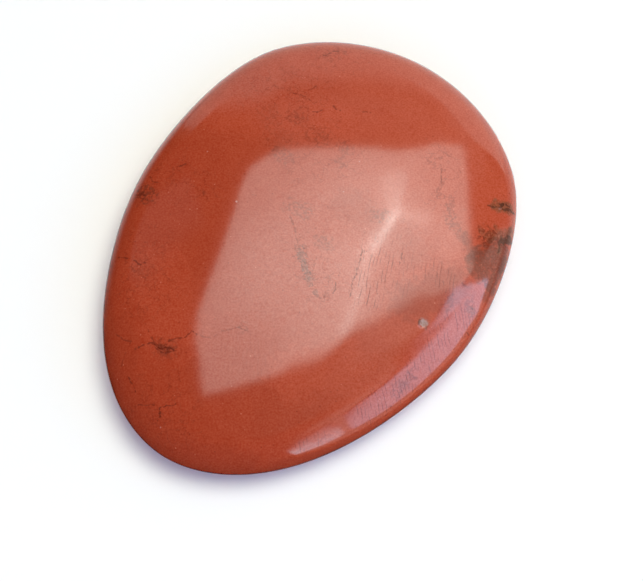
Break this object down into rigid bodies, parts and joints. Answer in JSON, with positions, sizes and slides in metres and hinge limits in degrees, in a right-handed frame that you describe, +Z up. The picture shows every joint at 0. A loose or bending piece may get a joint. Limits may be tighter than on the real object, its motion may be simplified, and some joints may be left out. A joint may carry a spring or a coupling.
{
  "type": "palm stone",
  "caption": "Flat egg-shaped polished pebble with a domed top, rounded edge, one bevelled flank and a small flat spot to rest on.",
  "frame": {"origin": "under the middle of the stone's outline, on the surface that it rests on", "axes": "+X along the stone's length to its blunt end, +Y across its width, +Z up"},
  "size_m": [0.0648, 0.0494, 0.0116],
  "materials": {
    "jasper": "polished opaque red jasper with fine dark veins, glossy"
  },
  "bodies": {
    "root": {"stone": "jasper"}
  },
  "joints": []
}
